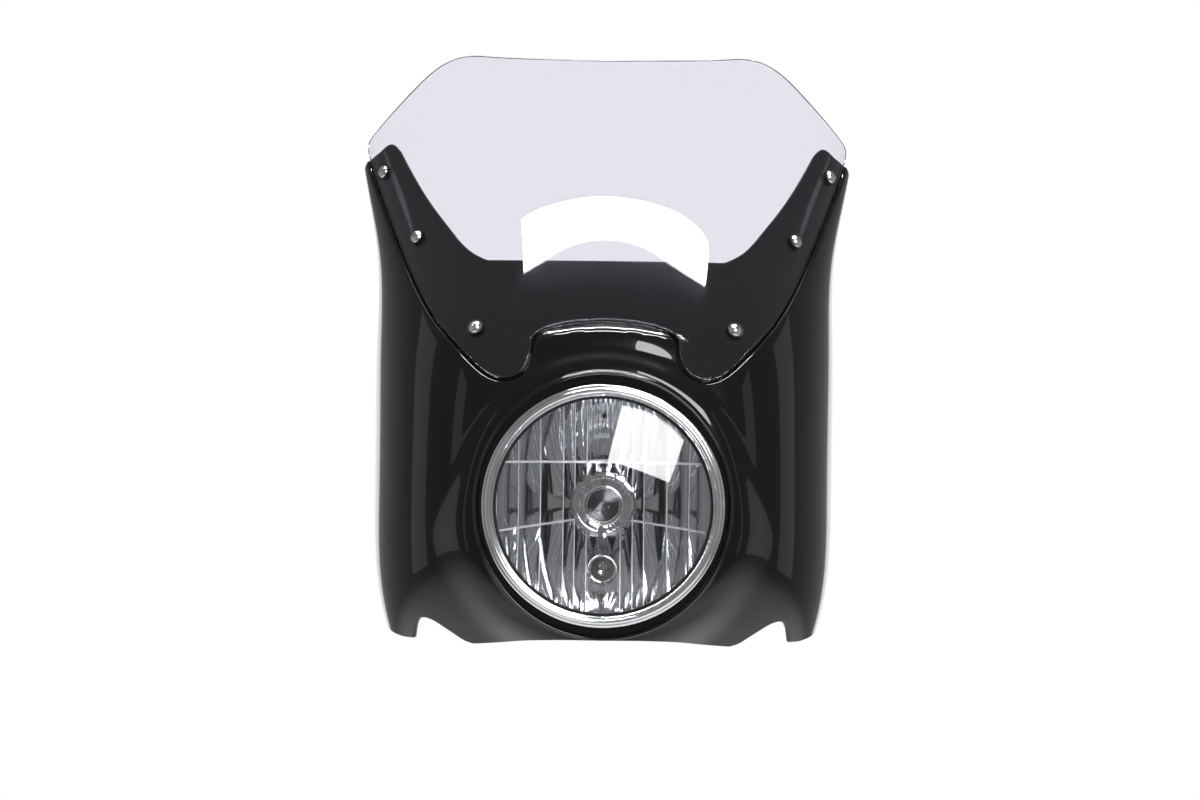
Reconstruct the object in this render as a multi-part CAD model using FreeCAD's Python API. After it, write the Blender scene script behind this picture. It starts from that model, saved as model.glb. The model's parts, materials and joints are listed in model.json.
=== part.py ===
"""Cockpit fairing: moulded shell, clear screen, round headlight and the bracket that carries them.

Millimetres, +Z up, the front faces -Y. The origin is the centre of the bracket's bolt pattern, on the
rear face of its back plate and on the headlight axis. Depths are counted backwards from the plane of
the headlight rim's front.
"""
import FreeCAD, Part
import math
import os

V = FreeCAD.Vector
X_AXIS = V(1, 0, 0)
Y_AXIS = V(0, 1, 0)
SIDES = (-1, 1)

# Headlight
rim_radius = 95.5
rim_inner_radius = 86.0
rim_wall = 1.4
rim_skirt = 26.0
lens_view_radius = 84.0
lens_edge_radius = 88.0
lens_thickness = 3.5
lens_apex_depth = -8.0
lens_edge_depth = 10.0
seat_gap = 0.3
seal_width = 3.0
seal_foot = 2.0
seal_lip = 1.2
flange_thickness = 2.0
reflector_depth = 60.0
reflector_wall = 4.0
facet_lines = (13.5, 23.0, 32.0, 50.0, 67.0)
facet_step = 2.0
upper_split = 32.5
lower_split = -14.0
bulb_hole_radius = 19.6
bulb_flange_radius = 22.0
bulb_glass_radius = 8.5
shield_cap_radius = 13.8
shield_cap_depth = 24.0
shield_ring_radius = 25.5
shield_wall = 1.2
parking_drop = 51.0
parking_collar_radius = 11.6
parking_barrel_radius = 8.7
parking_glass_radius = 5.0
housing_wall = 2.0
housing_side = 70.0
housing_depth = 132.0
grommet_radius = 13.0
grommet_bore = 5.0

# Tilt pivot of the headlight
pivot_depth = 58.0
pivot_boss_radius = 11.0
pivot_boss_height = 3.0
pivot_bolt_radius = 4.0
pivot_washer_thickness = 1.5
bolt_clearance = 0.4

# Bracket and stays
mount_setback = 190.0
bracket_thickness = 4.0
bracket_height = 130.0
bracket_arm_height = 40.0
back_plate_half_width = 62.0
arm_bend_depth = 142.0
mount_spacing_x = 80.0
mount_spacing_z = 60.0
mount_hole_radius = 4.25
stay_thickness = 3.0
stay_height = 22.0
stay_edge = 4.0
stay_tab = 30.0
boss_radius = 8.0
boss_length = 14.0
stay_bolt_radius = 3.0

# Shell and windscreen
shell_wall = 3.0
screen_thickness = 4.0
screen_edge_gap = 2.0
side_draft = 7.0
mouth_side_gap = 3.2
mouth_tilt_gap = 7.4
lip_wall = 2.6
lip_front_depth = 6.0
lip_back_depth = 36.5
lip_return = 2.5
lip_return_gap = 1.5
flare_depth = 17.0
flare_width = 45.0
brow_rise = 7.0
brow_half_width = 58.0
brow_height = 124.0
brow_roundness = 16.0

# Screen fasteners
screw_radius = 2.9
screw_head_radius = 5.4
screw_head_height = 3.2
screw_socket_radius = 1.9
screw_washer_radius = 6.6
screw_washer_thickness = 0.8
screw_nut_radius = 5.5
screw_nut_height = 4.0
screw_nut_gap = 0.4
screw_length = 18.0
screw_places = ((187.0, 271.5), (156.0, 215.0), (104.0, 140.0))

# Shell section stations: height, depth of the front, half width, depth of the rear edge,
# half width of the flat nose and depth of the shoulder
STATIONS = (
    (-130, 90, 168, 165, 95, 118),
    (-95, 50, 180, 174, 105, 88),
    (-50, 29, 188, 186, 114, 68),
    (0, 24, 190, 196, 120, 60),
    (60, 27, 190.5, 203, 120, 64),
    (130, 51, 190.5, 211, 115, 88),
    (200, 97, 191.5, 226, 108, 139),
    (275, 153, 205, 250, 108, 199),
    (385, 242, 216, 292, 110, 284),
)

# Front outlines, right half, as (x, z)
SCREEN_TOP = ((0, 368.5), (60, 370), (114, 373))
SCREEN_CORNER = ((114, 373), (129, 370.5), (141, 363))
SCREEN_LOWER = (
    (190, 314), (201, 299), (199, 280), (187, 248), (173.5, 215), (157, 180), (132.5, 142),
    (110.5, 119), (92, 103.5), (77, 100.5), (65.5, 107), (60, 120), (57.5, 133), (44, 141.5), (22, 146),
    (0, 147.5),
)
HORN = ((97, 197.5), (110, 204), (128, 222), (148, 247), (163, 270), (175, 291))
HORN_TIP = ((175, 291), (182, 297), (193, 290))
TOP_CORNER = (206, 276)
CHIN = ((103, -114.8), (83, -113), (53, -109), (0, -108))
ARCH = ((103, -114.8), (110, -112.5), (118, -107.5), (128, -101), (138, -95.5), (146, -95), (150, -101))
EAR = ((150, -101), (152, -112.5), (161, -112.5), (176, -108))
CLEAR_OF_SHELL = 240.0

# Worked out from the sizes above
mouth_half_width = rim_radius + mouth_side_gap
mouth_half_height = rim_radius + mouth_tilt_gap
recess_depth = screen_thickness + seat_gap
lens_back = lens_edge_depth + lens_thickness + seat_gap
flange_front = lens_back + seal_foot + 2 * seat_gap
housing_front = flange_front + flange_thickness + seat_gap
housing_radius = rim_radius - rim_wall - 2 * seat_gap
cavity_apex = flange_front + reflector_depth
reflector_back = cavity_apex + reflector_wall
boss_face_x = housing_radius + pivot_boss_height
arm_inner_x = boss_face_x + seat_gap + pivot_washer_thickness
arm_outer_x = arm_inner_x + bracket_thickness
stay_level = (bracket_height - stay_height) / 2 - stay_edge
tab_depth = arm_bend_depth - stay_tab / 2 - stay_thickness
boss_depth = arm_bend_depth + stay_tab / 2


def place(x, depth, z):
    """A point from its depth behind the rim's front."""
    return V(x, depth - mount_setback, z)


def station_curve(column):
    """One shell value as a smooth curve over height."""
    heights = [float(row[0]) for row in STATIONS]
    curve = Part.BSplineCurve()
    curve.interpolate(Points=[V(row[0], row[column], 0) for row in STATIONS], Parameters=heights)
    return curve


front_depth, half_width, rear_depth, nose_width, shoulder_depth = [station_curve(c) for c in range(1, 6)]


def smooth(value):
    """A soft step from 0 to 1."""
    value = min(max(value, 0.0), 1.0)
    return value * value * value * (10 - 15 * value + 6 * value * value)


def shell_point(across, z):
    """The shell's outside: across runs from -1 at the left rear edge to 1 at the right one."""
    t = abs(across)
    u = 1 - t
    half = half_width.value(z).y
    front = front_depth.value(z).y
    nose, shoulder, tail = 3 * t * u * u, 3 * t * t * u, t ** 3
    x = nose * nose_width.value(z).y + shoulder * (half - side_draft) + tail * half
    depth = front * (u ** 3 + nose) + shoulder * shoulder_depth.value(z).y + tail * rear_depth.value(z).y
    around = math.hypot(x / mouth_half_width, z / mouth_half_height)
    reach = 1 + flare_width / mouth_half_height
    depth += (flare_depth - depth) * smooth((reach - around) / (reach - 1.04))
    hood = (x / brow_half_width) ** 4 + ((z - brow_height) / brow_roundness) ** 2
    depth -= brow_rise * math.exp(-hood)
    return place(math.copysign(x, across), depth, z)


def shell_normal(across, z):
    """The outward normal of the shell's outside."""
    step = 0.002
    along = shell_point(across + step, z) - shell_point(across - step, z)
    up = shell_point(across, z + 0.5) - shell_point(across, z - 0.5)
    return along.cross(up).normalize()


def across_at(x, z):
    """Where on its section the shell passes a given x."""
    low, high = 0.0, 1.0
    for _ in range(40):
        middle = (low + high) / 2
        if shell_point(middle, z).x < abs(x):
            low = middle
        else:
            high = middle
    return math.copysign(low, x)


def skin_face(inset, reach):
    """The shell's surface moved inwards along its normals, out to a reach of 1 at the rear edges."""
    columns, rows = 28, 34
    low, high = STATIONS[0][0] + 5.0, STATIONS[-1][0] - 5.0
    heights = [low + (high - low) * j / rows for j in range(rows + 1)]
    grid = []
    for i in range(columns + 1):
        across = reach * (2 * i / columns - 1)
        grid.append([shell_point(across, z) - shell_normal(across, z) * inset for z in heights])
    surface = Part.BSplineSurface()
    surface.interpolate(grid)
    return surface.toShape()


def skin(outer_inset, inner_inset, reach=1.0):
    """The solid between two skins."""
    outer = skin_face(outer_inset, reach)
    inner = skin_face(inner_inset, reach)
    rims = [Part.makeRuledSurface(a, b) for a, b in zip(outer.Edges, inner.Edges)]
    closed = Part.makeShell([outer, inner] + rims)
    closed.sewShape()
    return Part.makeSolid(closed)


def flat(points):
    return [V(x, 0, z) for x, z in points]


def mirrored(points):
    """The left half of an outline, running back from the axis."""
    return [(-x, z) for x, z in reversed(points)]


def curve(points):
    """A straight or smooth edge in the front view."""
    if len(points) == 2:
        return Part.LineSegment(*flat(points)).toShape()
    spline = Part.BSplineCurve()
    spline.interpolate(flat(points))
    return spline.toShape()


def prism(wire):
    """Everything behind and in front of a closed front outline."""
    deep = 4 * mount_setback
    face = Part.Face(wire)
    face.translate(V(0, -deep, 0))
    return face.extrude(V(0, 2 * deep, 0))


def screen_wire():
    """The windscreen's outline, with the notch that clears the brow."""
    slant = (SCREEN_CORNER[-1], SCREEN_LOWER[0])
    stretches = [
        mirrored(SCREEN_TOP)[:-1] + list(SCREEN_TOP), SCREEN_CORNER, slant,
        list(SCREEN_LOWER) + mirrored(SCREEN_LOWER)[1:], mirrored(slant), mirrored(SCREEN_CORNER),
    ]
    return Part.Wire([curve(points) for points in stretches])


def outset(wire, distance):
    """A closed outline moved outwards, with its round stretches redrawn as plain splines."""
    edges = []
    for edge in wire.makeOffset2D(distance).Edges:
        if isinstance(edge.Curve, Part.OffsetCurve):
            spline = Part.BSplineCurve()
            spline.interpolate(edge.discretize(int(edge.Length / 8) + 4))
            edge = spline.toShape()
        edges.append(edge)
    return Part.Wire(Part.__sortEdges__(edges))


def shell_wire():
    """The shell's outline: chin, fork arches, ears, open sides, horns and the cockpit edge."""
    side = (EAR[-1], (CLEAR_OF_SHELL, EAR[-1][1]), (CLEAR_OF_SHELL, TOP_CORNER[1]), TOP_CORNER, HORN_TIP[-1])
    right = [ARCH] + list(zip(EAR, EAR[1:])) + list(zip(side, side[1:]))
    right += [tuple(reversed(HORN_TIP)), tuple(reversed(HORN))]
    left = [mirrored(points) for points in reversed(right)]
    edge = (HORN[0], mirrored(HORN)[-1])
    chin = mirrored(tuple(reversed(CHIN)))[:-1] + list(reversed(CHIN))
    return Part.Wire([curve(points) for points in right + [edge] + left + [chin]])


def ellipse_prism(half_x, half_z, front, back):
    """An upright elliptical bar along the headlight axis."""
    long_axis = place(0, front, half_z)
    short_axis = place(half_x, front, 0)
    edge = Part.Ellipse(long_axis, short_axis, place(0, front, 0)).toShape()
    return Part.Face(Part.Wire([edge])).extrude(Y_AXIS * (back - front))


def turned(path):
    """A solid of revolution about the headlight axis from (radius, depth) corners; a corner with
    four values is reached by an arc through its first pair."""
    edges = []
    last = path[0]
    for corner in list(path[1:]) + [path[0]]:
        start, end = place(last[-2], last[-1], 0), place(corner[-2], corner[-1], 0)
        if len(corner) == 4:
            edges.append(Part.Arc(start, place(corner[0], corner[1], 0), end).toShape())
        elif (start - end).Length > 1e-6:
            edges.append(Part.LineSegment(start, end).toShape())
        last = corner
    return Part.Face(Part.Wire(edges)).revolve(V(0, 0, 0), Y_AXIS, 360)


def rod(radius, start, direction, length):
    return Part.makeCylinder(radius, length, start, direction)


def hexagon(radius, height, start, direction):
    """A hexagonal bar; radius is half the width across its corners."""
    corners = [V(radius * math.cos(math.pi * k / 3), radius * math.sin(math.pi * k / 3), 0) for k in range(7)]
    bar = Part.Face(Part.makePolygon(corners)).extrude(V(0, 0, height))
    bar.Placement = FreeCAD.Placement(start, FreeCAD.Rotation(V(0, 0, 1), direction))
    return bar


def folded(path, thickness, height, level):
    """A bent strip: a plan path of (x, depth) with its thickness to the left, upright about a level."""
    points = [place(x, depth, level - height / 2) for x, depth in path]
    line = Part.makePolygon(points)
    plan = line.makeOffset2D(thickness, fill=True, openResult=True)
    return plan.extrude(V(0, 0, height))


def mirror_x(shape):
    return shape.mirror(V(0, 0, 0), X_AXIS)


def screw_frames():
    """Each screen screw's point on the outside of the screen, with the outward normal there."""
    frames = []
    for x, z in screw_places:
        for side in SIDES:
            across = across_at(side * x, z)
            frames.append((shell_point(across, z), shell_normal(across, z)))
    return frames


def stay_places():
    """Each stay's side, level and the x of its boss's face on the shell's inner wall."""
    places = []
    for level in (stay_level, -stay_level):
        low, high = 0.0, 1.0
        for _ in range(40):
            middle = (low + high) / 2
            if shell_point(middle, level).y + mount_setback < boss_depth:
                low = middle
            else:
                high = middle
        wall_x = shell_point(low, level).x - shell_wall / 2
        places += [(side, level, wall_x) for side in SIDES]
    return places


def make_windscreen():
    sheet = skin(0, screen_thickness).common(prism(screen_wire()))
    for point, normal in screw_frames():
        hole = rod(screw_radius + bolt_clearance, point + normal * 5, normal * -1, 20)
        sheet = sheet.cut(hole)
    return sheet


def make_shell():
    """One moulding: a thick skin, sunk in front where the screen lies and thinned behind elsewhere."""
    recess = prism(outset(screen_wire(), screen_edge_gap))
    wall = prism(outset(screen_wire(), screen_edge_gap + shell_wall))
    spare = shell_wall / 2
    pocket = skin(-spare, recess_depth).common(recess)
    relief = skin(shell_wall, recess_depth + shell_wall + spare, 1.03).cut(wall)
    shell = skin(0, recess_depth + shell_wall).common(prism(shell_wire())).cut([pocket, relief])
    lip = ellipse_prism(mouth_half_width + lip_wall, mouth_half_height + lip_wall, lip_front_depth,
                        lip_back_depth)
    mouth = ellipse_prism(mouth_half_width, mouth_half_height, lip_front_depth - flare_width,
                          lip_back_depth - lip_return)
    throat = rod(housing_radius + lip_return_gap, place(0, lip_front_depth, 0), Y_AXIS, 2 * lip_back_depth)
    bosses = []
    for side, level, wall_x in stay_places():
        root = place(side * wall_x, boss_depth, level)
        bosses.append(rod(boss_radius, root, X_AXIS * -side, boss_length))
    shell = shell.fuse([lip] + bosses).cut([mouth, throat])
    for side, level, wall_x in stay_places():
        face = place(side * (wall_x - boss_length), boss_depth, level)
        shell = shell.cut(rod(stay_bolt_radius + bolt_clearance / 4, face, X_AXIS * side, boss_length - 2))
    for point, normal in screw_frames():
        shell = shell.cut(rod(screw_radius + bolt_clearance, point, normal * -1, 20))
    return max(shell.Solids, key=lambda solid: solid.Volume)


def make_screen_fasteners():
    screws, washers, nuts = [], [], []
    stack = recess_depth + shell_wall
    for point, normal in screw_frames():
        foot = point + normal * (seat_gap / 2)
        washer = rod(screw_washer_radius, foot, normal, screw_washer_thickness)
        washers.append(washer.cut(rod(screw_radius + bolt_clearance, foot, normal, screw_washer_thickness)))
        seat = foot + normal * screw_washer_thickness
        dome_radius = (screw_head_radius ** 2 + screw_head_height ** 2) / (2 * screw_head_height)
        ball = Part.makeSphere(dome_radius, seat + normal * (screw_head_height - dome_radius))
        head = rod(screw_head_radius, seat, normal, screw_head_height).common(ball)
        socket = hexagon(screw_socket_radius, screw_head_height, seat + normal * (screw_head_height * 0.4), normal)
        shank = rod(screw_radius, seat, normal * -1, screw_length)
        screws.append(head.fuse(shank).cut(socket))
        nut_face = point - normal * (stack + screw_nut_gap)
        nut = hexagon(screw_nut_radius, screw_nut_height, nut_face, normal * -1)
        nuts.append(nut.cut(rod(screw_radius, nut_face, normal * -1, screw_nut_height)))
    return {"windscreen_screws": screws, "screen_washers": washers, "screen_nuts": nuts}


def make_rim():
    """A pressed ring: an outer bead, a broad crown, an inner bead and a skirt round the housing."""
    r, wall, inner = rim_radius, rim_wall, rim_inner_radius
    return turned([
        (r, rim_skirt), (r, 5), (r - 0.45, 3.7, r - 1.4, 3.2), (r - 2, 4), (r - 2.6, 3),
        (r - 4.9, 0, r - 7.2, 2.2), (r - 7.6, 3.4), (r - 8, 3), (r - 8.6, 2.6, r - 9.2, 3.2),
        (inner, 4.4), (inner, 7), (r - 8.4, 5.2), (r - 7.3, 4.8), (r - 4.9, 1.5, r - 2.9, 4.4),
        (r - 1.9, 5.6), (r - wall, 6.2), (r - wall, rim_skirt),
    ])


def lens_depth(radius, inset):
    """The depth of the lens's outside, or of a face inset behind it, at a radius."""
    sag = lens_edge_depth - lens_apex_depth
    sphere = (lens_edge_radius ** 2 + sag ** 2) / (2 * sag)
    return lens_apex_depth + sphere - math.sqrt((sphere - inset) ** 2 - radius ** 2)


def make_lens():
    edge, half, inset = lens_edge_radius, lens_edge_radius / 2, lens_thickness
    return turned([
        (0, lens_depth(0, 0)), (half, lens_depth(half, 0), edge, lens_depth(edge, 0)),
        (edge, lens_depth(edge, inset)), (half, lens_depth(half, inset), 0, lens_depth(0, inset)),
    ])


def make_seal():
    """A rubber channel round the edge of the glass, with a lip that shows inside the rim."""
    inner = lens_edge_radius + seat_gap
    outer = inner + seal_width
    back = flange_front - seat_gap
    foot = lens_view_radius
    lip_back = lens_depth(lens_edge_radius, 0) - seat_gap
    foot_back = lens_depth(foot, 0) - seat_gap
    behind = lens_depth(lens_edge_radius, lens_thickness) + seat_gap
    return turned([
        (foot, foot_back - seal_lip), (inner, lip_back - seal_lip), (outer, lip_back - seal_lip), (outer, back),
        (foot, back), (foot, behind), (inner, behind), (inner, lip_back), (foot, foot_back),
    ])


def make_reflector():
    four_f = lens_view_radius ** 2 / reflector_depth
    flange_radius = housing_radius - seat_gap
    flange_back = flange_front + flange_thickness
    neck = shield_ring_radius + 1
    half = lens_view_radius / 2 + reflector_wall * 2
    bowl = turned([
        (0, flange_front), (flange_radius, flange_front), (flange_radius, flange_back),
        (lens_view_radius + reflector_wall, flange_back),
        (half + 10, flange_back + reflector_depth * 0.66, neck, reflector_back), (0, reflector_back),
    ])

    def strip(low, high):
        """One upright strip of the mirror, with its steps at the two splits."""
        middle = (low + high) / 2
        front = -lens_view_radius - mount_setback
        reach = lens_view_radius + 1

        def zone(bottom, top, step):
            points = []
            for k in range(5):
                z = bottom + (top - bottom) * k / 4
                points.append(V(low, cavity_apex + step - (middle ** 2 + z ** 2) / four_f - mount_setback, z))
            mirror = Part.BSplineCurve()
            mirror.interpolate(points)
            corners = [points[-1], V(low, front, top), V(low, front, bottom), points[0]]
            edges = [mirror.toShape()] + [Part.LineSegment(a, b).toShape() for a, b in zip(corners, corners[1:])]
            return Part.Face(Part.Wire(edges)).extrude(V(high - low, 0, 0))

        return zone(-reach, lower_split, 0).fuse([
            zone(lower_split, upper_split, facet_step), zone(upper_split, reach, 0)])

    lines = sorted([-x for x in facet_lines] + list(facet_lines) + [-lens_view_radius - 1, lens_view_radius + 1])
    strips = [strip(low, high) for low, high in zip(lines, lines[1:])]
    round_limit = rod(lens_view_radius, place(0, lens_apex_depth, 0), Y_AXIS, reflector_back)
    cavity = strips[0].fuse(strips[1:]).common(round_limit)
    ring_seat = rod(shield_ring_radius + seat_gap, place(0, lens_apex_depth, 0), Y_AXIS,
                    shield_seat_depth() - lens_apex_depth)
    bulb_hole = rod(bulb_hole_radius, place(0, lens_apex_depth, 0), Y_AXIS, 2 * reflector_back)
    collar_seat = rod(parking_collar_radius + seat_gap, place(0, lens_apex_depth, -parking_drop), Y_AXIS,
                      parking_seat_depth() - lens_apex_depth)
    barrel_hole = rod(parking_barrel_radius + seat_gap, place(0, lens_apex_depth, -parking_drop), Y_AXIS,
                      2 * reflector_back)
    return bowl.cut([cavity, ring_seat, bulb_hole, collar_seat, barrel_hole]).removeSplitter()


def shield_seat_depth():
    """Where the bulb shield's ring sits in the mirror."""
    return cavity_apex - shield_ring_radius ** 2 * reflector_depth / lens_view_radius ** 2


def parking_seat_depth():
    """Where the parking light's collar sits in the mirror."""
    return cavity_apex - parking_drop ** 2 * reflector_depth / lens_view_radius ** 2


def make_shield():
    """A cap before the bulb, on two legs from a ring in the mirror."""
    seat = shield_seat_depth()
    cap_back = shield_cap_depth + 14
    r, wall = shield_cap_radius, shield_wall
    cap = turned([
        (0, shield_cap_depth), (r - 2, shield_cap_depth),
        (r - 0.6, shield_cap_depth + 0.6, r, shield_cap_depth + 2), (r, cap_back), (r - wall, cap_back),
        (r - wall, shield_cap_depth + wall + 1), (0, shield_cap_depth + wall),
    ])
    ring = turned([
        (bulb_hole_radius, seat), (bulb_hole_radius, seat - 6), (shield_ring_radius - 2, seat - 6),
        (shield_ring_radius, seat - 4), (shield_ring_radius, seat),
    ])
    leg_width = 5.0
    legs = []
    for side in SIDES:
        inner, outer = side * (r - wall), side * (bulb_hole_radius + wall)
        corners = [(inner, cap_back - 6), (inner + side * wall, cap_back - 6), (outer + side * wall, seat - 3),
                   (outer, seat - 3), (inner, cap_back - 6)]
        outline = Part.makePolygon([place(x, depth, -leg_width / 2) for x, depth in corners])
        legs.append(Part.Face(outline).extrude(V(0, 0, leg_width)))
    return cap.fuse([ring] + legs).removeSplitter()


def make_bulb():
    """Glass, metal base and flange as one sealed lamp."""
    flange = reflector_back + seat_gap
    tip = shield_cap_depth + 6
    g = bulb_glass_radius
    return turned([
        (0, tip), (g * 0.7, tip + 1.5, g, tip + 7), (g, flange - 18), (bulb_hole_radius - 4, flange - 16),
        (bulb_hole_radius - 4, flange), (bulb_flange_radius, flange), (bulb_flange_radius, flange + 2),
        (bulb_hole_radius - 6, flange + 2), (bulb_hole_radius - 6, flange + 14), (0, flange + 14),
    ])


def make_bulb_clip():
    """The sprung wire ring that holds the bulb's flange down."""
    wire = 0.8
    return Part.makeTorus(bulb_hole_radius - 2, wire, place(0, reflector_back + seat_gap + 2 + wire, 0), Y_AXIS)


def make_dust_boot():
    """Rubber cap over the back of the mirror."""
    seat = reflector_back + seat_gap
    inner = bulb_flange_radius + seat_gap
    wall = 2.2
    stem = bulb_hole_radius - 6 + seat_gap
    return turned([
        (inner, seat), (inner + wall, seat), (inner + wall + 2, seat + 4), (inner + wall, seat + 9),
        (stem + wall + 2, seat + 14), (stem + wall, seat + 20), (stem, seat + 20), (stem, seat + 12),
        (inner, seat + 7),
    ])


def make_parking_light():
    seat = parking_seat_depth()
    centre = V(0, 0, -parking_drop)
    barrel_back = reflector_back + 6
    hole = parking_glass_radius + seat_gap
    socket = turned([
        (hole, seat - 4), (parking_collar_radius - 1.5, seat - 4), (parking_collar_radius, seat - 2.5),
        (parking_collar_radius, seat), (parking_barrel_radius, seat), (parking_barrel_radius, barrel_back),
        (0, barrel_back), (0, barrel_back - 3), (hole, barrel_back - 3),
    ])
    g = parking_glass_radius
    bulb = turned([
        (0, seat - 10), (g * 0.72, seat - 8.5, g, seat - 5), (g, barrel_back - 3 - seat_gap),
        (0, barrel_back - 3 - seat_gap),
    ])
    socket.translate(centre)
    bulb.translate(centre)
    return socket, bulb


def make_housing():
    r, wall, hole = housing_radius, housing_wall, grommet_radius + seat_gap
    back = housing_depth
    knee = (r * 0.85, housing_side + (back - housing_side) * 0.68)
    inner_knee = (knee[0] - wall * 0.7, knee[1] - wall * 0.7)
    neck = r * 0.36
    bucket = turned([
        (r, housing_front), (r, housing_side), (*knee, neck, back), (hole, back), (hole, back - wall),
        (neck, back - wall), (*inner_knee, r - wall, housing_side), (r - wall, housing_front),
    ])
    for side in SIDES:
        face = place(side * boss_face_x, pivot_depth, 0)
        boss = rod(pivot_boss_radius, face, X_AXIS * -side, pivot_boss_height + housing_wall)
        bucket = bucket.fuse(boss)
    for side in SIDES:
        start = place(side * boss_face_x, pivot_depth, 0)
        bucket = bucket.cut(rod(pivot_bolt_radius + bolt_clearance / 4, start, X_AXIS * -side, 12))
        spot = place(side * (housing_radius - housing_wall - 0.6), pivot_depth, 0)
        bucket = bucket.cut(rod(pivot_boss_radius, spot, X_AXIS * -side, 12))
    return bucket


def make_grommet():
    """Rubber inlet in the back of the housing."""
    outside, inside = housing_depth + seat_gap / 2, housing_depth - housing_wall - seat_gap / 2
    r = grommet_radius
    return turned([
        (grommet_bore, inside - 3), (r + 2.5, inside - 3), (r + 2.5, inside), (r, inside), (r, outside),
        (r + 3, outside), (r + 3, outside + 2), (r - 3, outside + 6), (grommet_bore, outside + 6),
    ])


def make_pivot_parts():
    bolts, nuts, washers = [], [], []
    head_height = 6.0
    nut_height = 6.0
    nut_face = housing_radius - housing_wall - 0.6
    for side in SIDES:
        out = X_AXIS * side
        head_seat = place(side * (arm_outer_x + seat_gap), pivot_depth, 0)
        head = hexagon(pivot_bolt_radius * 1.75, head_height, head_seat, out)
        collar = rod(pivot_bolt_radius * 2.1, head_seat, out, head_height / 4)
        shank_length = arm_outer_x + seat_gap - nut_face + nut_height + 2
        bolts.append(head.fuse([collar, rod(pivot_bolt_radius, head_seat, out * -1, shank_length)]))
        nut_seat = place(side * (nut_face - seat_gap / 3), pivot_depth, 0)
        nut = hexagon(pivot_bolt_radius * 1.85, nut_height, nut_seat, out * -1)
        nuts.append(nut.cut(rod(pivot_bolt_radius, nut_seat, out * -1, nut_height)))
        inner = place(side * arm_inner_x, pivot_depth, 0)
        washer = rod(pivot_boss_radius, inner, out * -1, pivot_washer_thickness)
        washers.append(washer.cut(
            rod(pivot_bolt_radius + bolt_clearance, inner, out * -1, pivot_washer_thickness)))
    return {"pivot_bolts": bolts, "pivot_nuts": nuts, "pivot_washers": washers}


def make_bracket():
    """A folded steel yoke: back plate with the mounting holes, and an arm to each headlight bolt."""
    inner_back = mount_setback - bracket_thickness
    arm_front = pivot_depth - bracket_arm_height / 2
    path = [(arm_inner_x, arm_front), (arm_inner_x, arm_bend_depth), (back_plate_half_width, inner_back)]
    path += [(-x, depth) for x, depth in reversed(path)]
    strip = folded(path, bracket_thickness, bracket_height, 0)
    low, tall = bracket_arm_height / 2, bracket_height / 2
    rear = mount_setback + 1
    taper_start = pivot_depth + low
    side_view = [(taper_start, low), (tab_depth - stay_tab / 2, tall), (rear, tall), (rear, -tall),
                 (tab_depth - stay_tab / 2, -tall), (taper_start, -low)]
    wide = 2 * arm_outer_x
    corners = [place(-wide, depth, z) for depth, z in side_view]
    blank = Part.Face(Part.makePolygon(corners + corners[:1])).extrude(X_AXIS * (2 * wide))
    lobe = rod(low, place(-wide, pivot_depth, 0), X_AXIS, 2 * wide)
    link_size = (2 * wide, taper_start - pivot_depth, 2 * low)
    link = Part.makeBox(*link_size, place(-wide, pivot_depth, -low))
    strip = strip.common(blank.fuse([lobe, link]))
    holes = [rod(pivot_bolt_radius + bolt_clearance, place(-wide, pivot_depth, 0), X_AXIS, 2 * wide)]
    for z in (stay_level, -stay_level):
        holes.append(rod(stay_bolt_radius + bolt_clearance / 2, place(-wide, tab_depth, z), X_AXIS, 2 * wide))
    for x in (-mount_spacing_x / 2, mount_spacing_x / 2):
        for z in (-mount_spacing_z / 2, mount_spacing_z / 2):
            holes.append(rod(mount_hole_radius, V(x, -2 * bracket_thickness, z), Y_AXIS, 4 * bracket_thickness))
    return strip.cut(holes).removeSplitter()


def make_stay(level, wall_x):
    """A right-hand stay from the bracket's arm to a boss on the shell."""
    boss_face = wall_x - boss_length
    path = [(arm_outer_x, tab_depth - stay_tab / 2), (arm_outer_x, arm_bend_depth - stay_thickness),
            (boss_face - stay_thickness, arm_bend_depth - stay_thickness),
            (boss_face - stay_thickness, boss_depth + stay_tab / 2)]
    strip = folded(path, stay_thickness, stay_height, level)
    for depth in (tab_depth, boss_depth):
        strip = strip.cut(rod(stay_bolt_radius + bolt_clearance / 2, place(0, depth, level), X_AXIS, wall_x))
    return strip


def make_stay_parts():
    stays = {}
    shell_bolts, bracket_bolts, bracket_nuts = [], [], []
    head_height = 4.0
    nut_height = 5.0
    head_radius = stay_bolt_radius * 1.9
    for side, level, wall_x in stay_places():
        name = "{}_stay_{}".format("upper" if level > 0 else "lower", "right" if side > 0 else "left")
        stay = make_stay(level, wall_x)
        stays[name] = [stay if side > 0 else mirror_x(stay)]
        out = X_AXIS * side
        seat = place(side * (wall_x - boss_length - stay_thickness), boss_depth, level)
        bolt = hexagon(head_radius, head_height, seat, out * -1)
        shell_bolts.append(bolt.fuse(rod(stay_bolt_radius, seat, out, stay_thickness + boss_length - 4)))
        seat = place(side * (arm_outer_x + stay_thickness), tab_depth, level)
        grip = stay_thickness + bracket_thickness
        bolt = hexagon(head_radius, head_height, seat, out)
        bracket_bolts.append(bolt.fuse(rod(stay_bolt_radius, seat, out * -1, grip + nut_height + 2)))
        seat = place(side * arm_inner_x, tab_depth, level)
        nut = hexagon(head_radius, nut_height, seat, out * -1)
        bracket_nuts.append(nut.cut(rod(stay_bolt_radius, seat, out * -1, nut_height)))
    stays.update({"shell_bolts": shell_bolts, "bracket_bolts": bracket_bolts, "bracket_nuts": bracket_nuts})
    return stays


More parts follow.
